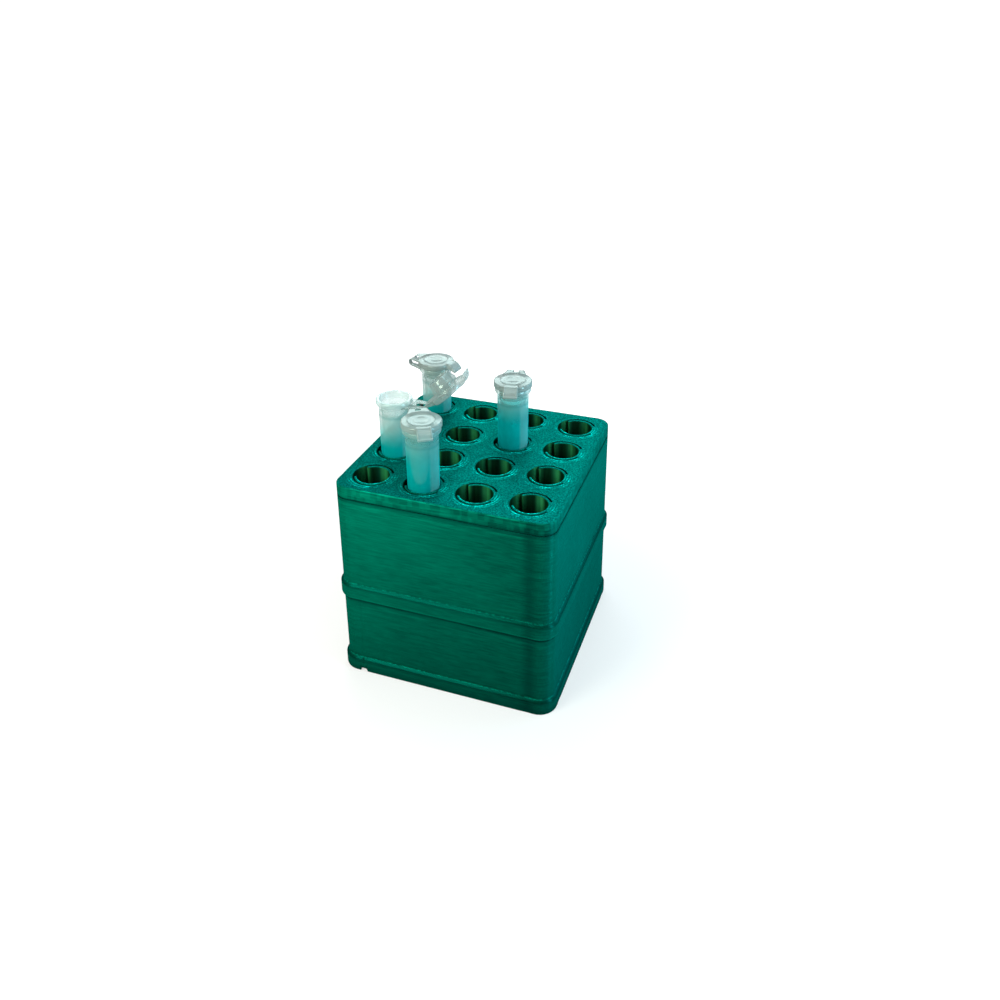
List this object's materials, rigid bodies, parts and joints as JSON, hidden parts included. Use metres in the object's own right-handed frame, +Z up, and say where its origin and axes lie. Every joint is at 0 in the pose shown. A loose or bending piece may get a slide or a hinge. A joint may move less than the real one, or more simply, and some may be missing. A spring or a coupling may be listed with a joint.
{
  "type": "microcentrifuge tube rack with tubes",
  "caption": "Square stacking rack for snap-cap microcentrifuge tubes, with spring-clip sockets, hinged-cap tubes standing in it and its storage cover underneath.",
  "frame": {"origin": "centre of the stack's underside, on the bench", "axes": "+X to the right along the front, +Y towards the back, +Z up"},
  "size_m": [0.0764, 0.0764, 0.1047],
  "materials": {
    "printed_green": "silky 3D-printed plastic with fine layer lines",
    "clear_polypropylene": "milky translucent moulded polypropylene",
    "cap_polypropylene": "milky translucent moulded polypropylene"
  },
  "bodies": {
    "cover": {"storage_cover": "printed_green"},
    "rack": {"tube_rack": "printed_green"},
    "front_tube_body": {"front_tube": "clear_polypropylene", "front_tube_strap": "clear_polypropylene"},
    "front_cap_body": {"front_cap": "cap_polypropylene", "front_cap_strap": "cap_polypropylene"},
    "left_tube_body": {"left_tube": "clear_polypropylene", "left_tube_strap": "clear_polypropylene"},
    "left_cap_body": {"left_cap": "cap_polypropylene", "left_cap_strap": "cap_polypropylene"},
    "right_tube_body": {"right_tube": "clear_polypropylene", "right_tube_strap": "clear_polypropylene"},
    "right_cap_body": {"right_cap": "cap_polypropylene", "right_cap_strap": "cap_polypropylene"},
    "back_tube_body": {"back_tube": "clear_polypropylene", "back_tube_strap": "clear_polypropylene"},
    "back_cap_body": {"back_cap": "cap_polypropylene", "back_cap_strap": "cap_polypropylene"}
  },
  "joints": [
    {"name": "rack_lift", "type": "slide", "parent": "cover", "child": "rack", "axis": [0, 0, 1], "range_m": [0, 0.03]},
    {"name": "front_tube_slide", "type": "slide", "parent": "rack", "child": "front_tube_body", "axis": [0, 0, 1], "range_m": [-0.0183, 0.025]},
    {"name": "front_cap_hinge", "type": "hinge", "parent": "front_tube_body", "child": "front_cap_body", "pos_m": [-0.01363, -0.01929, 0.09365], "axis": [-0.8572, -0.515, 0], "range_deg": [0, 105]},
    {"name": "left_tube_slide", "type": "slide", "parent": "rack", "child": "left_tube_body", "axis": [0, 0, 1], "range_m": [-0.0173, 0.025]},
    {"name": "left_cap_hinge", "type": "hinge", "parent": "left_tube_body", "child": "left_cap_body", "pos_m": [-0.01664, -0.00809, 0.0915], "axis": [-0.0872, 0.9962, 0], "range_deg": [-138, 22]},
    {"name": "right_tube_slide", "type": "slide", "parent": "rack", "child": "right_tube_body", "axis": [0, 0, 1], "range_m": [-0.0192, 0.025]},
    {"name": "right_cap_hinge", "type": "hinge", "parent": "right_tube_body", "child": "right_cap_body", "pos_m": [0.00713, 0.0178, 0.09455], "axis": [-0.9781, -0.2079, 0], "range_deg": [0, 180]},
    {"name": "back_tube_slide", "type": "slide", "parent": "rack", "child": "back_tube_body", "axis": [0, 0, 1], "range_m": [-0.0145, 0.025]},
    {"name": "back_cap_hinge", "type": "hinge", "parent": "back_tube_body", "child": "back_cap_body", "pos_m": [-0.03591, 0.02825, 0.08985], "axis": [-0.1392, -0.9903, 0], "range_deg": [0, 180]}
  ]
}
